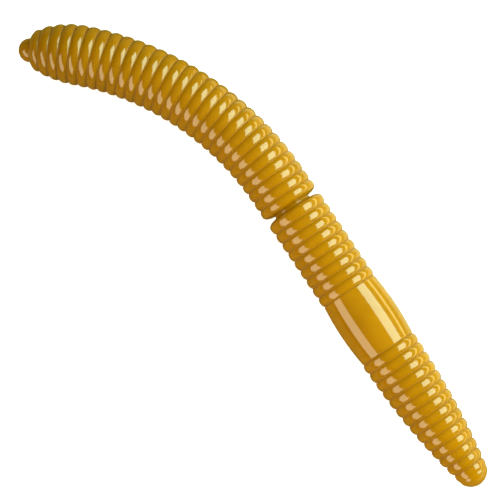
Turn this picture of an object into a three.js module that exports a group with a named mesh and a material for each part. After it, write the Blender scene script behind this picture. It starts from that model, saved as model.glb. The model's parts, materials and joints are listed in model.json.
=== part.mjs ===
// A ribbed soft plastic fishing worm, lying on a flat surface in the easy curve it was moulded in.
// Millimetres, +Z up. The head half lies along +X, the tail bends round towards -Y.
// The worm is one soft moulding, drawn here as its moulded segments from tail tip to head tip.
// Twelve short sections of segments swing on eleven hinges, which stand for its bending.

import * as THREE from 'three';

// Lengths of the segments along the centreline
const tailTipLength = 1.15;
const tailRingLength = 1.0725;
const lastTailRingLength = 1.175;
const waistLength = 0.3;
const firstMidRingLength = 1.26;
const midRingLength = 1.06;
const saddleLength = 6.76;
const headRingLength = 1.059;
const lastHeadRingLength = 0.91;
const headTipLength = 1.17;

// How many rings there are in each stretch
const tailRingCount = 29;
const midRingCount = 9;
const headRingCount = 14;

// Radii
const bodyRadius = 3.0;
const waistRadius = 2.0;
const saddleRadius = 3.08;
const saddleEndRadius = 2.86;
const saddleFlatLength = 2.4;
const tailTipRadius = 1.15;
const headTipRadius = 1.45;

// Grooves between rings, the slant from groove to crest, and the clear gap left at the bottom of each
const grooveDepth = 0.22;
const crestInset = 0.15;
const grooveGap = 0.2;

// Tapers of the two ends
const tailTaperLength = 6.2;
const tailTaperPower = 0.56;
const headTaperLength = 16.02;
const headTaperDrop = 0.565;
const headTaperPower = 2.2;

// Bends of the centreline, by distance from the tail tip
const tailBendRadius = 30.6;
const tailBendFull = 28.5;
const tailBendEnd = 32;
const headBendRadius = 720;
const headBendStart = 40;

// Hinges: how far each swings from rest, with a little to spare between the faces
const hingeSwing = THREE.MathUtils.degToRad(20);
const waistSwing = THREE.MathUtils.degToRad(15);
const restLean = THREE.MathUtils.degToRad(1.1);
const spareLean = THREE.MathUtils.degToRad(0.5);

// Segments in each section between hinges, from the tail tip to the head tip
const sectionSizes = [5, 5, 5, 5, 5, 6, 5, 4, 1, 5, 5, 5];

const sideCount = 20;
const tipSteps = 4;
const walkStep = 0.05;

const plasticColour = 0xb6820e;
const plasticRoughness = 0.15;

function twoDigits(number) {
  return String(number).padStart(2, '0');
}

// Every segment in order, with the distances from the tail tip at which it starts and ends.
function listSegments() {
  const segments = [];
  let reached = 0;
  const add = (name, length) => {
    segments.push({ name, start: reached, end: reached + length });
    reached += length;
  };
  add('tail_tip', tailTipLength);
  for (let ring = 1; ring <= tailRingCount; ring += 1) {
    add(`tail_ring_${twoDigits(ring)}`, ring === tailRingCount ? lastTailRingLength : tailRingLength);
  }
  add('waist', waistLength);
  for (let ring = 1; ring <= midRingCount; ring += 1) {
    add(`mid_ring_${twoDigits(ring)}`, ring === 1 ? firstMidRingLength : midRingLength);
  }
  add('saddle', saddleLength);
  for (let ring = 1; ring <= headRingCount; ring += 1) {
    add(`head_ring_${twoDigits(ring)}`, ring === headRingCount ? lastHeadRingLength : headRingLength);
  }
  add('head_tip', headTipLength);
  return segments;
}

const segments = listSegments();
const wormLength = segments[segments.length - 1].end;

// Radius over the ring crests at a distance from the tail tip.
function crestRadius(distance) {
  const headStart = wormLength - headTaperLength;
  if (distance < tailTaperLength) {
    const inset = (tailTaperLength - distance) / tailTaperLength;
    return bodyRadius * (1 - inset ** 2) ** tailTaperPower;
  }
  if (distance > headStart) {
    const along = (distance - headStart) / headTaperLength;
    return bodyRadius * (1 - headTaperDrop * along ** headTaperPower);
  }
  return bodyRadius;
}

// Turn of the centreline per millimetre, to the left positive.
function curvature(distance) {
  const tailEasing = 1 - THREE.MathUtils.smoothstep(distance, tailBendFull, tailBendEnd);
  const headGrowth = Math.max(0, distance - headBendStart) / (wormLength - headBendStart);
  return headGrowth / headBendRadius - tailEasing / tailBendRadius;
}

// Place and heading of the centreline, walked from the middle of the saddle, where it runs along +X.
function station(distance) {
  const saddle = segments.find((segment) => segment.name === 'saddle');
  const saddleMiddle = (saddle.start + saddle.end) / 2;
  const steps = Math.max(1, Math.ceil(Math.abs(distance - saddleMiddle) / walkStep));
  const step = (distance - saddleMiddle) / steps;
  const place = { x: 0, y: 0, heading: 0 };
  for (let count = 0; count < steps; count += 1) {
    const turn = curvature(saddleMiddle + step * (count + 0.5)) * step;
    place.x += Math.cos(place.heading + turn / 2) * step;
    place.y += Math.sin(place.heading + turn / 2) * step;
    place.heading += turn;
  }
  return place;
}

// Outline of one end of a ring, from the axis to the crest, as [radius, depth in from the end face].
// A hinge end is a cone, so that its neighbour can lean over by the hinge's swing.
function ringEnd(radiusAt, lean) {
  if (lean > 0) {
    const rim = radiusAt(bodyRadius * Math.tan(lean));
    return [[0, 0], [rim, rim * Math.tan(lean)]];
  }
  return [[0, 0], [radiusAt(0) - grooveDepth, 0], [radiusAt(crestInset), crestInset]];
}

// A ring as a closed half outline, turned about the centreline. Y runs from tail to head.
function ringOutline(segment, tailLean, headLean) {
  const middle = (segment.start + segment.end) / 2;
  const tailFace = segment.start + grooveGap / 2;
  const headFace = segment.end - grooveGap / 2;
  const tailSide = ringEnd((depth) => crestRadius(tailFace + depth), tailLean);
  const headSide = ringEnd((depth) => crestRadius(headFace - depth), headLean);
  return [
    ...tailSide.map(([radius, depth]) => new THREE.Vector2(radius, tailFace + depth - middle)),
    ...headSide.reverse().map(([radius, depth]) => new THREE.Vector2(radius, headFace - depth - middle)),
  ];
}

// The smooth saddle: a shallow barrel whose middle stretch is straight, between two hinge cones.
function saddleOutline(segment, tailLean, headLean) {
  const halfLength = (segment.end - segment.start - grooveGap) / 2;
  const tailRim = saddleEndRadius * Math.tan(tailLean) - halfLength;
  const headRim = halfLength - saddleEndRadius * Math.tan(headLean);
  return [
    new THREE.Vector2(0, -halfLength),
    new THREE.Vector2(saddleEndRadius, tailRim),
    new THREE.Vector2(saddleRadius, -saddleFlatLength / 2),
    new THREE.Vector2(saddleRadius, saddleFlatLength / 2),
    new THREE.Vector2(saddleEndRadius, headRim),
    new THREE.Vector2(0, halfLength),
  ];
}

// The waist: a thin disc between the last tail ring and the first middle ring.
function waistOutline(segment) {
  const halfLength = (segment.end - segment.start - grooveGap / 2) / 2;
  return [
    new THREE.Vector2(0, -halfLength),
    new THREE.Vector2(waistRadius, -halfLength),
    new THREE.Vector2(waistRadius, halfLength),
    new THREE.Vector2(0, halfLength),
  ];
}

// A rounded tip: a quarter ellipse turned about the centreline, pointing to the tail (-1) or head (+1).
function tipOutline(segment, baseRadius, pointing) {
  const depth = segment.end - segment.start - grooveGap / 2;
  const middleShift = grooveGap / 4;
  const outline = [new THREE.Vector2(0, -pointing * (depth / 2 + middleShift))];
  for (let step = 0; step <= tipSteps; step += 1) {
    const angle = (step / tipSteps) * Math.PI / 2;
    const radius = step === tipSteps ? 0 : baseRadius * Math.cos(angle);
    const along = depth * Math.sin(angle) - depth / 2 - middleShift;
    outline.push(new THREE.Vector2(radius, pointing * along));
  }
  return pointing > 0 ? outline : outline.reverse();
}

function segmentOutline(segment, tailLean, headLean) {
  if (segment.name === 'tail_tip') {
    return tipOutline(segment, tailTipRadius, -1);
  }
  if (segment.name === 'head_tip') {
    return tipOutline(segment, headTipRadius, 1);
  }
  if (segment.name === 'waist') {
    return waistOutline(segment);
  }
  if (segment.name === 'saddle') {
    return saddleOutline(segment, tailLean, headLean);
  }
  return ringOutline(segment, tailLean, headLean);
}

// A turned segment on the centreline, with one flat facing straight down.
function makeSegment(segment, tailLean, headLean) {
  const outline = segmentOutline(segment, tailLean, headLean);
  const facetRadius = 1 / Math.cos(Math.PI / sideCount);
  const facetOutline = outline.map((point) => new THREE.Vector2(point.x * facetRadius, point.y));
  const geometry = new THREE.LatheGeometry(facetOutline, sideCount, Math.PI / sideCount);
  const material = new THREE.MeshStandardMaterial({
    color: plasticColour,
    roughness: plasticRoughness,
    metalness: 0,
  });
  const mesh = new THREE.Mesh(geometry, material);
  const place = station((segment.start + segment.end) / 2);
  mesh.name = segment.name;
  mesh.position.set(place.x, place.y, 0);
  mesh.rotation.z = place.heading - Math.PI / 2;
  return mesh;
}

// Lean of the coned face that a hinge needs on each side of it. The waist's hinge runs through the
// middle of the waist, so the whole lean is on the middle ring's side of it.
function hingeLean(segmentBefore) {
  if (segmentBefore.name === 'waist') {
    return { before: 0, after: waistSwing + restLean + spareLean };
  }
  const lean = hingeSwing / 2 + restLean + spareLean;
  return { before: lean, after: lean };
}

const worm = new THREE.Group();
let segmentIndex = 0;
let leanAfterHinge = 0;
sectionSizes.forEach((size, sectionIndex) => {
  const section = new THREE.Group();
  const isLastSection = sectionIndex === sectionSizes.length - 1;
  const lastSegment = segments[segmentIndex + size - 1];
  const hinge = isLastSection ? { before: 0, after: 0 } : hingeLean(lastSegment);
  for (let count = 0; count < size; count += 1) {
    const tailLean = count === 0 ? leanAfterHinge : 0;
    const headLean = count === size - 1 ? hinge.before : 0;
    section.add(makeSegment(segments[segmentIndex], tailLean, headLean));
    segmentIndex += 1;
  }
  leanAfterHinge = hinge.after;
  worm.add(section);
});

// The origin is under the middle of the worm's box, on the surface it lies on.
const box = new THREE.Box3().setFromObject(worm, true);
const boxCentre = box.getCenter(new THREE.Vector3());
worm.position.set(-boxCentre.x, -boxCentre.y, -box.min.z);

export default worm;
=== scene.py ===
"""A ribbed soft plastic fishing worm, lying on a pale table under soft studio lights.

Each moulded segment of the worm is turned as a closed ring about a straight line, and then bent
onto the worm's centreline.
"""

import json
import math

import bmesh
import bpy
from mathutils import Matrix, Vector


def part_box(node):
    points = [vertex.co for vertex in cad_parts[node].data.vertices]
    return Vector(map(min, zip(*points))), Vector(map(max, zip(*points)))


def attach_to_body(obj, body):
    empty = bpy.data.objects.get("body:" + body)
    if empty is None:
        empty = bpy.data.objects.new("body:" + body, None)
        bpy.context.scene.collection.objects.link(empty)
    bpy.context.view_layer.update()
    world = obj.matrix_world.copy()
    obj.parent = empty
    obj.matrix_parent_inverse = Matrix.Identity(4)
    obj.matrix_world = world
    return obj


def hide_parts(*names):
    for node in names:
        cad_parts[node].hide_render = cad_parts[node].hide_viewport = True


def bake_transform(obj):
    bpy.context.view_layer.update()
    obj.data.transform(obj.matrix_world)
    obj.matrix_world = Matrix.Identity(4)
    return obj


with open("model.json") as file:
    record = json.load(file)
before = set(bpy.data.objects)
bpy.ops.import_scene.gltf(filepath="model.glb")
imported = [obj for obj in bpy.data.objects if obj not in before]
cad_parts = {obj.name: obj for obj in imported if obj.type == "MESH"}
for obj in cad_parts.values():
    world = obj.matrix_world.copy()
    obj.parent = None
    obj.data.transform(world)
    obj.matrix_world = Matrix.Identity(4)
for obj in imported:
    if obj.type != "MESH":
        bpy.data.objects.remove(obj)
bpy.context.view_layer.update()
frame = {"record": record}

MM = 0.001

# Lengths of the segments along the centreline, in millimetres, from tail tip to head tip
TAIL_TIP_LENGTH = 1.15
TAIL_RING_LENGTH = 1.0725
LAST_TAIL_RING_LENGTH = 1.175
WAIST_LENGTH = 0.3
FIRST_MID_RING_LENGTH = 1.26
MID_RING_LENGTH = 1.06
SADDLE_LENGTH = 6.76
HEAD_RING_LENGTH = 1.059
LAST_HEAD_RING_LENGTH = 0.91
HEAD_TIP_LENGTH = 1.17

TAIL_RINGS = 29
MID_RINGS = 9
HEAD_RINGS = 14

# Radii
BODY_RADIUS = 3.0
WAIST_RADIUS = 2.0
WAIST_HOLLOW = 0.08
SADDLE_RADIUS = 3.08
SADDLE_END_RADIUS = 2.87
TAIL_TIP_RADIUS = 1.17

# Tapers of the two ends
TAIL_TAPER_LENGTH = 6.2
TAIL_TAPER_POWER = 0.56
HEAD_TAPER_LENGTH = 16.02
HEAD_TAPER_DROP = 0.565
HEAD_TAPER_POWER = 2.2

# Bends of the centreline, by distance from the tail tip
TAIL_BEND_RADIUS = 30.6
TAIL_BEND_FULL = 28.5
TAIL_BEND_END = 32.0
HEAD_BEND_RADIUS = 720.0
HEAD_BEND_START = 40.0
WALK_STEP = 0.05

# Section through one ring: an arc from groove to groove, with a fine notch at each foot and a
# small fillet at the bottom. The last groove, beside the head tip, is only a shallow one.
RING_ARC_RADIUS = 0.82
RING_HALF = 0.534
GROOVE_FILLET = 0.03
NOTCH_WIDTH = 0.13
NOTCH_DEPTH = 0.03
SHALLOW_SHARE = 0.35

# Shoulders: of the first ring, of the rings beside the waist, and of the saddle's ends
NECK_ROUNDING = 0.62
WAIST_ROUNDING = 0.56
SADDLE_SHOULDER = 0.16
SADDLE_STEP = 0.1

# The tail tip is a ball, widest just before the first groove. The head tip is a rounded cone.
BALL_WIDEST = 0.95
BALL_NECKING = 0.01
CONE_POWER = 1.4

# End faces of the segments, which are hidden inside the worm
CAP_RECESS = 0.03
CAP_INSET = 0.12

SPIN_STEPS = 96
SEAM_TOLERANCE = 1e-5

# The plastic is duller, and darker with painted shade, this close to a groove, and darker over this
# much of the tail
GROOVE_BAND = 0.22
DARKER_TAIL_LENGTH = 32.0

# How many segments on each side of a hinge lie in its stretch, and how much of each end of the
# saddle
BLENDED = 2
BLENDED_BEFORE_WAIST = 3
SADDLE_END_LENGTH = 2.16

# The camera, nearly straight above. Its roll is measured from the worm's head half.
CAMERA_LENS = 236.4
SENSOR_WIDTH = 36.0
CAMERA_BACK = (0.0481, 0.1071, 0.9931)
CAMERA_ROLL = 56.13
CAMERA_FROM_SADDLE = (3.30, 28.49, 317.79)


def smoothstep(value, low, high):
    share = min(1.0, max(0.0, (value - low) / (high - low)))
    return share * share * (3 - 2 * share)


# ---- The worm's segments and its centreline ----


def list_segments():
    """Name, start and end of each segment, by distance from the tail tip."""
    lengths = [("tail_tip", TAIL_TIP_LENGTH)]
    lengths += [(f"tail_ring_{ring:02d}", TAIL_RING_LENGTH) for ring in range(1, TAIL_RINGS)]
    lengths += [(f"tail_ring_{TAIL_RINGS:02d}", LAST_TAIL_RING_LENGTH)]
    lengths += [("waist", WAIST_LENGTH), ("mid_ring_01", FIRST_MID_RING_LENGTH)]
    lengths += [(f"mid_ring_{ring:02d}", MID_RING_LENGTH) for ring in range(2, MID_RINGS + 1)]
    lengths += [("saddle", SADDLE_LENGTH)]
    lengths += [(f"head_ring_{ring:02d}", HEAD_RING_LENGTH) for ring in range(1, HEAD_RINGS)]
    lengths += [(f"head_ring_{HEAD_RINGS:02d}", LAST_HEAD_RING_LENGTH)]
    lengths += [("head_tip", HEAD_TIP_LENGTH)]
    segments = []
    reached = 0.0
    for name, length in lengths:
        segments.append({"name": name, "start": reached, "end": reached + length})
        reached += length
    return segments


SEGMENTS = list_segments()
SEGMENT = {segment["name"]: segment for segment in SEGMENTS}
WORM_LENGTH = SEGMENTS[-1]["end"]
SADDLE_MIDDLE = (SEGMENT["saddle"]["start"] + SEGMENT["saddle"]["end"]) / 2


def saddle_centre():
    low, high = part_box("saddle")
    return (low + high) / 2 / MM


def curvature(distance):
    """Turn of the centreline per millimetre, to the left positive."""
    tail_easing = 1 - smoothstep(distance, TAIL_BEND_FULL, TAIL_BEND_END)
    head_growth = max(0.0, distance - HEAD_BEND_START) / (WORM_LENGTH - HEAD_BEND_START)
    return head_growth / HEAD_BEND_RADIUS - tail_easing / TAIL_BEND_RADIUS


def walk_centreline(direction):
    """Stations every WALK_STEP from the saddle's middle to the head tip (1) or tail tip (-1)."""
    centre = saddle_centre()
    x, y, heading = centre.x, centre.y, 0.0
    stations = [(x, y, heading)]
    reach = WORM_LENGTH - SADDLE_MIDDLE if direction > 0 else SADDLE_MIDDLE
    for step in range(math.ceil(reach / WALK_STEP) + 1):
        middle = SADDLE_MIDDLE + direction * WALK_STEP * (step + 0.5)
        turn = curvature(middle) * WALK_STEP * direction
        x += math.cos(heading + turn / 2) * WALK_STEP * direction
        y += math.sin(heading + turn / 2) * WALK_STEP * direction
        heading += turn
        stations.append((x, y, heading))
    return stations


HEIGHT = saddle_centre().z
WALKS = {1: walk_centreline(1), -1: walk_centreline(-1)}


def station(distance):
    """Place and sideways direction of the centreline at a distance from the tail tip."""
    direction = 1 if distance >= SADDLE_MIDDLE else -1
    steps = abs(distance - SADDLE_MIDDLE) / WALK_STEP
    before = int(steps)
    share = steps - before
    x0, y0, heading0 = WALKS[direction][before]
    x1, y1, heading1 = WALKS[direction][before + 1]
    heading = heading0 + (heading1 - heading0) * share
    place = Vector((x0 + (x1 - x0) * share, y0 + (y1 - y0) * share, HEIGHT))
    sideways = Vector((-math.sin(heading), math.cos(heading), 0.0))
    return place, sideways


def crest_radius(distance):
    """Radius over the ring crests."""
    head_start = WORM_LENGTH - HEAD_TAPER_LENGTH
    if distance < TAIL_TAPER_LENGTH:
        inset = (TAIL_TAPER_LENGTH - max(0.0, distance)) / TAIL_TAPER_LENGTH
        return BODY_RADIUS * (1 - inset ** 2) ** TAIL_TAPER_POWER
    if distance > head_start:
        along = (distance - head_start) / HEAD_TAPER_LENGTH
        return BODY_RADIUS * (1 - HEAD_TAPER_DROP * along ** HEAD_TAPER_POWER)
    return BODY_RADIUS


# ---- Ends of a segment: how far the surface lies under its crest, by distance in from the end ----


def wall_drop(inward):
    """The ring's arc, and the narrow notch at its foot."""
    beside = RING_HALF - inward
    arc = RING_ARC_RADIUS - math.sqrt(RING_ARC_RADIUS ** 2 - beside ** 2)
    notch = NOTCH_DEPTH * max(0.0, 1 - inward / NOTCH_WIDTH) ** 2
    return arc + notch


def groove_drop(inward):
    """The ring's wall, run out into the next ring's by a fillet."""
    if inward >= RING_HALF:
        return 0.0
    if inward >= GROOVE_FILLET:
        return wall_drop(inward)
    foot = wall_drop(GROOVE_FILLET)
    slope = (foot - wall_drop(GROOVE_FILLET + 0.001)) / 0.001
    return foot + slope * (GROOVE_FILLET ** 2 - inward ** 2) / (2 * GROOVE_FILLET)


def shallow_drop(inward):
    return SHALLOW_SHARE * groove_drop(inward)


def neck_drop(inward):
    """The shoulder of the first tail ring, down to the small ball of the tail tip."""
    if inward >= NECK_ROUNDING:
        return 0.0
    depth = crest_radius(TAIL_TIP_LENGTH) - TAIL_TIP_RADIUS + BALL_NECKING
    return depth * (1 - inward / NECK_ROUNDING) ** 2


def round_drop(inward, length, depth):
    """A shoulder whose section is a quarter ellipse."""
    if inward >= length:
        return 0.0
    return depth * (1 - math.sqrt(1 - (1 - inward / length) ** 2))


def waist_drop(inward):
    return round_drop(inward, WAIST_ROUNDING, BODY_RADIUS - WAIST_RADIUS)


def saddle_drop(inward):
    return round_drop(inward, SADDLE_SHOULDER, SADDLE_STEP)


def no_drop(inward):
    return 0.0


def arc_insets(length, count):
    """Distances in from an end, close together near it."""
    return [length * (1 - math.cos(math.pi / 2 * step / count)) for step in range(count + 1)]


def even_steps(low, high, count):
    """Distances from low, which is left out, to high."""
    return [low + (high - low) * step / count for step in range(1, count + 1)]


GROOVE_INSETS = [
    0.0,
    *even_steps(0.0, GROOVE_FILLET, 3),
    *even_steps(GROOVE_FILLET, NOTCH_WIDTH, 3),
    *even_steps(NOTCH_WIDTH, RING_HALF, 6),
]

ENDS = {
    "groove": (groove_drop, GROOVE_INSETS),
    "shallow": (shallow_drop, GROOVE_INSETS),
    "neck": (neck_drop, arc_insets(NECK_ROUNDING, 9)),
    "waist": (waist_drop, arc_insets(WAIST_ROUNDING, 9)),
    "saddle": (saddle_drop, arc_insets(SADDLE_SHOULDER, 5)),
    "plain": (no_drop, [0.0, 0.03]),
}


def section(start, end, tail_end, head_end, radius_at, between):
    """Half section of a segment as (distance, radius), from its tail face to its head face."""
    tail_drop, tail_insets = ENDS[tail_end]
    head_drop, head_insets = ENDS[head_end]
    length = round(end - start, 5)
    depths = {round(inset, 5) for inset in tail_insets}
    depths |= {round(end - start - inset, 5) for inset in head_insets}
    depths |= {round(distance - start, 5) for distance in between}
    return [
        (start + depth, radius_at(start + depth) - tail_drop(depth) - head_drop(length - depth))
        for depth in sorted(depths)
        if 0 <= depth <= length
    ]


def with_end_faces(outline):
    """The section with its end faces, which sit a little inside the segment, down to the axis."""
    (first, first_radius), (last, last_radius) = outline[0], outline[-1]
    tail_face = [(first + CAP_RECESS, 0.0), (first + CAP_RECESS, first_radius - CAP_INSET)]
    head_face = [(last - CAP_RECESS, last_radius - CAP_INSET), (last - CAP_RECESS, 0.0)]
    return (tail_face if first_radius else []) + outline + (head_face if last_radius else [])


# ---- Making a piece ----


def turned_solid(outline):
    """A half section turned about the X axis into a closed, smooth solid."""
    bm = bmesh.new()
    verts = [bm.verts.new((distance, 0.0, radius)) for distance, radius in with_end_faces(outline)]
    edges = [bm.edges.new(pair) for pair in zip(verts, verts[1:])]
    bmesh.ops.spin(
        bm, geom=verts + edges, cent=(0, 0, 0), axis=(1, 0, 0), dvec=(0, 0, 0),
        angle=2 * math.pi, steps=SPIN_STEPS, use_merge=True, use_duplicate=False,
    )
    bmesh.ops.remove_doubles(bm, verts=bm.verts, dist=1e-6)
    bmesh.ops.recalc_face_normals(bm, faces=bm.faces)
    for face in bm.faces:
        face.smooth = True
    return bm


def sharpen_seams(bm, outline):
    """Makes the circles sharp where a segment meets its neighbours."""
    seams = [end for end in (outline[0], outline[-1]) if end[1] > 0]

    def on_seam(co):
        return any(
            abs(co.x - distance) < SEAM_TOLERANCE
            and abs(math.hypot(co.y, co.z) - radius) < SEAM_TOLERANCE
            for distance, radius in seams
        )

    for edge in bm.edges:
        edge.smooth = not all(on_seam(vert.co) for vert in edge.verts)


def bend_onto_centreline(bm, grooves):
    """Moves a solid from the straight line to its place in the worm.

    Each vertex keeps two values for the plastic: its distance along the worm, and how close it is
    to a groove, from 0 to 1.
    """
    along = bm.verts.layers.float.new("along")
    groove = bm.verts.layers.float.new("groove")
    for vert in bm.verts:
        distance = vert.co.x
        place, sideways = station(distance)
        closeness = [1 - smoothstep(abs(distance - seam), 0.0, GROOVE_BAND) for seam in grooves]
        vert[along] = distance
        vert[groove] = max(closeness, default=0.0)
        vert.co = (place + sideways * vert.co.y + Vector((0, 0, 1)) * vert.co.z) * MM


def add_object(name, bm):
    mesh = bpy.data.meshes.new(name)
    bm.to_mesh(mesh)
    bm.free()
    item = bpy.data.objects.new(name, mesh)
    bpy.context.scene.collection.objects.link(item)
    return item


def spin_piece(name, outline, grooves):
    """A piece of the worm from its half section and the places of the grooves beside it."""
    bm = turned_solid(outline)
    sharpen_seams(bm, outline)
    bend_onto_centreline(bm, grooves)
    return add_object(name, bm)


# ---- Materials ----


def add_noise(tree, place, scale, detail):
    noise = tree.nodes.new("ShaderNodeTexNoise")
    noise.inputs["Scale"].default_value = scale
    noise.inputs["Detail"].default_value = detail
    tree.links.new(place, noise.inputs["Vector"])
    return noise.outputs["Fac"]


def add_attribute(tree, name):
    attribute = tree.nodes.new("ShaderNodeAttribute")
    attribute.attribute_name = name
    return attribute.outputs["Fac"]


def add_map_range(tree, value, from_low, from_high, to_low, to_high):
    """Turns one range of a value into another, and holds it at both ends."""
    node = tree.nodes.new("ShaderNodeMapRange")
    node.inputs["From Min"].default_value = from_low
    node.inputs["From Max"].default_value = from_high
    node.inputs["To Min"].default_value = to_low
    node.inputs["To Max"].default_value = to_high
    tree.links.new(value, node.inputs["Value"])
    return node.outputs["Result"]


def add_plastic_colour(tree, place, along, groove):
    """A cloudy mustard, darker towards the tail, and a little darker in the grooves with painted
    shade.
    """
    ramp = tree.nodes.new("ShaderNodeValToRGB")
    ramp.color_ramp.elements[0].position = 0.3
    ramp.color_ramp.elements[0].color = (0.302, 0.138, 0.0006, 1)
    ramp.color_ramp.elements[1].position = 0.7
    ramp.color_ramp.elements[1].color = (0.347, 0.160, 0.0008, 1)
    tree.links.new(add_noise(tree, place, 420.0, 4.0), ramp.inputs["Fac"])
    shade = tree.nodes.new("ShaderNodeMath")
    shade.operation = "MULTIPLY"
    # Darker towards the tail: the colour is scaled from 0.70 at the tail tip up to full over this
    # length.
    tree.links.new(add_map_range(tree, along, 0.0, DARKER_TAIL_LENGTH, 0.70, 1.0), shade.inputs[0])
    # Painted shade: the colour is made up to 6 % darker near the grooves.
    tree.links.new(add_map_range(tree, groove, 0.0, 1.0, 1.0, 0.94), shade.inputs[1])
    tint = tree.nodes.new("ShaderNodeVectorMath")
    tint.operation = "SCALE"
    tree.links.new(ramp.outputs["Color"], tint.inputs[0])
    tree.links.new(shade.outputs["Value"], tint.inputs["Scale"])
    return tint.outputs["Vector"]


def make_plastic():
    """Soft plastic, glossy on the rings and dull in the grooves, with a fine grain."""
    material = bpy.data.materials.new("mustard_soft_plastic")
    material.use_nodes = True
    tree = material.node_tree
    shader = tree.nodes["Principled BSDF"]
    shader.inputs["IOR"].default_value = 1.52
    shader.inputs["Specular Tint"].default_value = (0.8, 1.0, 0.85, 1)
    shader.inputs["Coat Roughness"].default_value = 0.06
    shader.inputs["Coat IOR"].default_value = 1.5
    place = tree.nodes.new("ShaderNodeTexCoord").outputs["Object"]
    along = add_attribute(tree, "along")
    groove = add_attribute(tree, "groove")
    roughness = add_map_range(tree, groove, 0.3, 1.0, 0.115, 0.55)
    coat = add_map_range(tree, groove, 0.3, 1.0, 0.6, 0.05)
    bump = tree.nodes.new("ShaderNodeBump")
    bump.inputs["Strength"].default_value = 0.25
    bump.inputs["Distance"].default_value = 0.00002
    tree.links.new(add_noise(tree, place, 2600.0, 3.0), bump.inputs["Height"])
    tree.links.new(add_plastic_colour(tree, place, along, groove), shader.inputs["Base Color"])
    tree.links.new(roughness, shader.inputs["Roughness"])
    tree.links.new(coat, shader.inputs["Coat Weight"])
    tree.links.new(bump.outputs["Normal"], shader.inputs["Normal"])
    return material


def mix_by_ray(tree, ray_kind, otherwise, for_ray):
    """One shader for rays of a kind, such as "Is Camera Ray", and another for the rest."""
    ray = tree.nodes.new("ShaderNodeLightPath")
    mix = tree.nodes.new("ShaderNodeMixShader")
    tree.links.new(ray.outputs[ray_kind], mix.inputs["Fac"])
    tree.links.new(otherwise, mix.inputs[1])
    tree.links.new(for_ray, mix.inputs[2])
    return mix.outputs["Shader"]


def make_table():
    """A pale matt table, brightened for the camera, and with a dim warm painted reflection in the
    plastic's gloss.
    """
    material = bpy.data.materials.new("pale_table")
    material.use_nodes = True
    tree = material.node_tree
    shader = tree.nodes["Principled BSDF"]
    shader.inputs["Base Color"].default_value = (0.85, 0.85, 0.85, 1)
    shader.inputs["Roughness"].default_value = 0.7
    glow = tree.nodes.new("ShaderNodeEmission")
    glow.inputs["Color"].default_value = (1.0, 1.0, 1.0, 1)
    glow.inputs["Strength"].default_value = 0.5
    brightened = tree.nodes.new("ShaderNodeAddShader")
    tree.links.new(shader.outputs["BSDF"], brightened.inputs[0])
    tree.links.new(glow.outputs["Emission"], brightened.inputs[1])
    # Painted reflection: in the plastic's gloss the table shows as a dim warm diffuse, standing in
    # for the plastic's own yellow bounce.
    warm_painted_reflection = tree.nodes.new("ShaderNodeBsdfDiffuse")
    warm_painted_reflection.inputs["Color"].default_value = (0.20, 0.15, 0.03, 1)
    seen = mix_by_ray(tree, "Is Camera Ray", shader.outputs["BSDF"], brightened.outputs["Shader"])
    surface = mix_by_ray(tree, "Is Glossy Ray", seen, warm_painted_reflection.outputs["BSDF"])
    tree.links.new(surface, tree.nodes["Material Output"].inputs["Surface"])
    return material


PLASTIC = make_plastic()

# ---- Which hinge's stretch each segment lies in ----

BODY_OF = {n: body for body, names in frame["record"]["behaviour"]["bodies"].items() for n in names}


def list_sections():
    """The sections from tail to head, each a body's name and a list of its segments."""
    ordered = []
    for segment in SEGMENTS:
        body = BODY_OF[segment["name"]]
        if not ordered or ordered[-1][0] != body:
            ordered.append((body, []))
        ordered[-1][1].append(segment)
    return ordered


def hinge_spans():
    """For each pair of sections in order, the stretch of centreline about their hinge."""
    sections = list_sections()
    spans = []
    for (body_a, part_a), (body_b, part_b) in zip(sections, sections[1:]):
        count = BLENDED_BEFORE_WAIST if part_a[-1]["name"] == "waist" else BLENDED
        if body_a == "saddle":
            start = part_a[0]["end"] - SADDLE_END_LENGTH
        else:
            start = part_a[-count]["start"]
        if body_b == "saddle":
            end = part_b[0]["start"] + SADDLE_END_LENGTH
        else:
            end = part_b[BLENDED - 1]["end"]
        spans.append({"bodies": (body_a, body_b), "start": start, "end": end})
    return spans


SPANS = hinge_spans()


def attach(piece, start, end, node_name):
    """Leaves a piece that lies in a hinge's stretch where it stands, or lets it ride on its own
    section.
    """
    piece.data.materials.append(PLASTIC)
    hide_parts(node_name)
    for span in SPANS:
        if span["start"] - 1e-6 <= start and end <= span["end"] + 1e-6:
            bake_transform(piece)
            return
    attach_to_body(piece, BODY_OF[node_name])


# ---- The pieces ----


def make_ring(segment, tail_end, head_end):
    start, end = segment["start"], segment["end"]
    crest = [start + (end - start) * share for share in (0.45, 0.5, 0.55)]
    outline = section(start, end, tail_end, head_end, crest_radius, crest)
    grooves = [seam for seam, kind in ((start, tail_end), (end, head_end)) if kind == "groove"]
    piece = spin_piece(segment["name"] + "_plastic", outline, grooves)
    attach(piece, start, end, segment["name"])


def make_waist(segment):
    """The waist, a little thinner in the middle than at its ends."""
    start, end = segment["start"], segment["end"]
    outline = []
    for distance in [start, *even_steps(start, end, 6)]:
        beside = (2 * distance - start - end) / (end - start)
        outline.append((distance, WAIST_RADIUS - WAIST_HOLLOW * (1 - beside ** 2)))
    piece = spin_piece("waist_plastic", outline, [])
    attach(piece, start, end, segment["name"])


def saddle_radius(distance):
    beside = abs(distance - SADDLE_MIDDLE) / (SADDLE_LENGTH / 2)
    return SADDLE_RADIUS - (SADDLE_RADIUS - SADDLE_END_RADIUS) * beside ** 2


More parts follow.
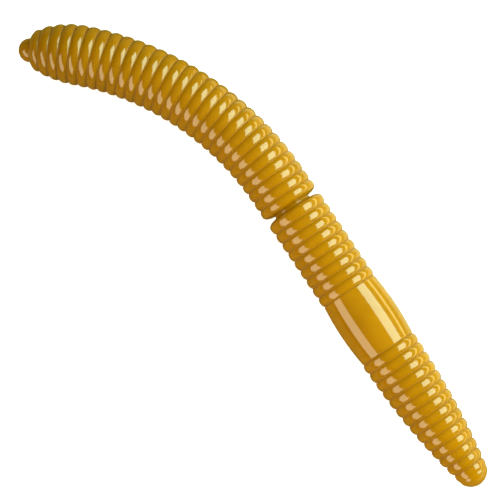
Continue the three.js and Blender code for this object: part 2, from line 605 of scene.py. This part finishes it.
def make_saddle(segment):
    """The saddle in three pieces, so that its two ends lie in their hinges' stretches."""
    start, end = segment["start"], segment["end"]
    tail_cut, head_cut = start + SADDLE_END_LENGTH, end - SADDLE_END_LENGTH
    parts = [
        ("saddle_tail_end", start, tail_cut, "saddle", "plain"),
        ("saddle_middle", tail_cut, head_cut, "plain", "plain"),
        ("saddle_head_end", head_cut, end, "plain", "saddle"),
    ]
    for name, low, high, tail_end, head_end in parts:
        between = even_steps(low, high, 12)[:-1]
        outline = section(low, high, tail_end, head_end, saddle_radius, between)
        piece = spin_piece(name, outline, [start, end])
        attach(piece, low, high, segment["name"])


def make_tail_tip(segment):
    """A small ball at the end of the tail."""
    end = segment["end"]
    widest = BALL_WIDEST * end
    outline = [(0.0, 0.0)]
    for distance in arc_insets(widest, 12)[1:]:
        outline.append((distance, TAIL_TIP_RADIUS * math.sqrt(1 - (1 - distance / widest) ** 2)))
    for distance in even_steps(widest, end, 6):
        share = (distance - widest) / (end - widest)
        outline.append((distance, TAIL_TIP_RADIUS - BALL_NECKING * share ** 2))
    piece = spin_piece("tail_tip_plastic", outline, [])
    attach(piece, 0.0, end, segment["name"])


def make_head_tip(segment):
    """A rounded cone."""
    start, end = segment["start"], segment["end"]

    def cone_radius(distance):
        share = (distance - start) / (end - start)
        return crest_radius(start) * math.sqrt(max(0.0, 1 - share ** CONE_POWER))

    between = [end - inset for inset in arc_insets(end - start, 16)]
    outline = section(start, end, "shallow", "plain", cone_radius, between)
    outline[-1] = (end, 0.0)
    piece = spin_piece("head_tip_plastic", outline, [])
    attach(piece, start, end, segment["name"])


def ring_end(beyond):
    """How a ring ends beside the segment beyond it."""
    return {"waist": "waist", "head_tip": "shallow", "tail_tip": "neck"}.get(beyond, "groove")


MAKERS = {
    "tail_tip": make_tail_tip,
    "waist": make_waist,
    "saddle": make_saddle,
    "head_tip": make_head_tip,
}

for index, segment in enumerate(SEGMENTS):
    if segment["name"] in MAKERS:
        MAKERS[segment["name"]](segment)
    else:
        before, after = SEGMENTS[index - 1]["name"], SEGMENTS[index + 1]["name"]
        make_ring(segment, ring_end(before), ring_end(after))

# ---- Table, lights, camera and room ----


def make_floor():
    bm = bmesh.new()
    bmesh.ops.create_grid(bm, x_segments=1, y_segments=1, size=1.5)
    floor = add_object("table_top", bm)
    floor.data.materials.append(make_table())


def aim(item, back, up):
    """Turns a light or the camera so that it looks along -back, with its top towards up."""
    back = back.normalized()
    right = up.cross(back).normalized()
    item.rotation_mode = "QUATERNION"
    axes = Matrix((right, back.cross(right), back))
    item.rotation_quaternion = axes.transposed().to_quaternion()


def soft_light(name, direction, distance, length, width, power, colour):
    """A softbox that faces the origin from a direction, with its length along X. Metres."""
    data = bpy.data.lights.new(name, "AREA")
    data.shape = "RECTANGLE"
    data.size = length
    data.size_y = width
    data.energy = power
    data.color = colour
    light = bpy.data.objects.new(name, data)
    bpy.context.scene.collection.objects.link(light)
    back = Vector(direction).normalized()
    light.location = back * distance
    light.visible_camera = False
    aim(light, back, back.cross(Vector((1, 0, 0))))
    return light


def table_glow(name, beside, width, power):
    """A glowing strip of table, some millimetres beside the saddle, seen only in reflections."""
    glow = soft_light(name, (0, 0, -1), 0.0, 0.28, width * MM, power, (1.0, 0.95, 0.45))
    glow.location = (0.12, (saddle_centre().y + beside) * MM, 0.0004)
    glow.visible_diffuse = False
    glow.visible_shadow = False


def make_lights():
    soft_light(
        "key_softbox", (0.09, 0.838, 0.540), 0.30, 0.37, 0.186, 1.285, (0.83, 1.0, 0.74),
    )
    soft_light(
        "fill_strip", (0.17, -0.82, 0.552), 0.30, 0.50, 0.178, 1.07, (1.0, 0.80, 0.575),
    )
    side = soft_light(
        "side_panel", (0.45, 1, 0.25), 0.5, 0.6, 0.25, 2.3, (1.0, 0.99, 0.9),
    )
    side.visible_glossy = False
    table_glow("far_glow", 38, 40, 0.113)
    table_glow("near_glow", 6.2, 5, 0.0033)
    overhead = soft_light(
        "overhead_panel", (0, 0.05, 1), 0.8, 1.0, 1.0, 5.7, (1.0, 0.96, 0.9),
    )
    overhead.visible_glossy = False


def make_camera():
    data = bpy.data.cameras.new("camera")
    data.lens = CAMERA_LENS
    data.sensor_width = SENSOR_WIDTH
    data.clip_end = 20.0
    camera = bpy.data.objects.new("camera", data)
    bpy.context.scene.collection.objects.link(camera)
    bpy.context.scene.camera = camera
    back = Vector(CAMERA_BACK).normalized()
    along = (Vector((1, 0, 0)) - back * back.x).normalized()
    right = Matrix.Rotation(math.radians(CAMERA_ROLL), 3, back) @ along
    camera.location = (saddle_centre() + Vector(CAMERA_FROM_SADDLE)) * MM
    aim(camera, back, back.cross(right))


def make_room():
    """A dim warm room round the lights, which looks pale behind the table."""
    world = bpy.data.worlds.new("pale_room")
    bpy.context.scene.world = world
    world.use_nodes = True
    tree = world.node_tree
    dim = tree.nodes["Background"]
    dim.inputs["Color"].default_value = (1.0, 0.8, 0.3, 1)
    dim.inputs["Strength"].default_value = 0.02
    pale = tree.nodes.new("ShaderNodeBackground")
    pale.inputs["Color"].default_value = (0.95, 0.95, 0.95, 1)
    pale.inputs["Strength"].default_value = 1.0
    surface = mix_by_ray(
        tree, "Is Camera Ray", dim.outputs["Background"], pale.outputs["Background"],
    )
    tree.links.new(surface, tree.nodes["World Output"].inputs["Surface"])


make_floor()
make_lights()
make_camera()
make_room()
bpy.context.scene.view_settings.view_transform = "Standard"
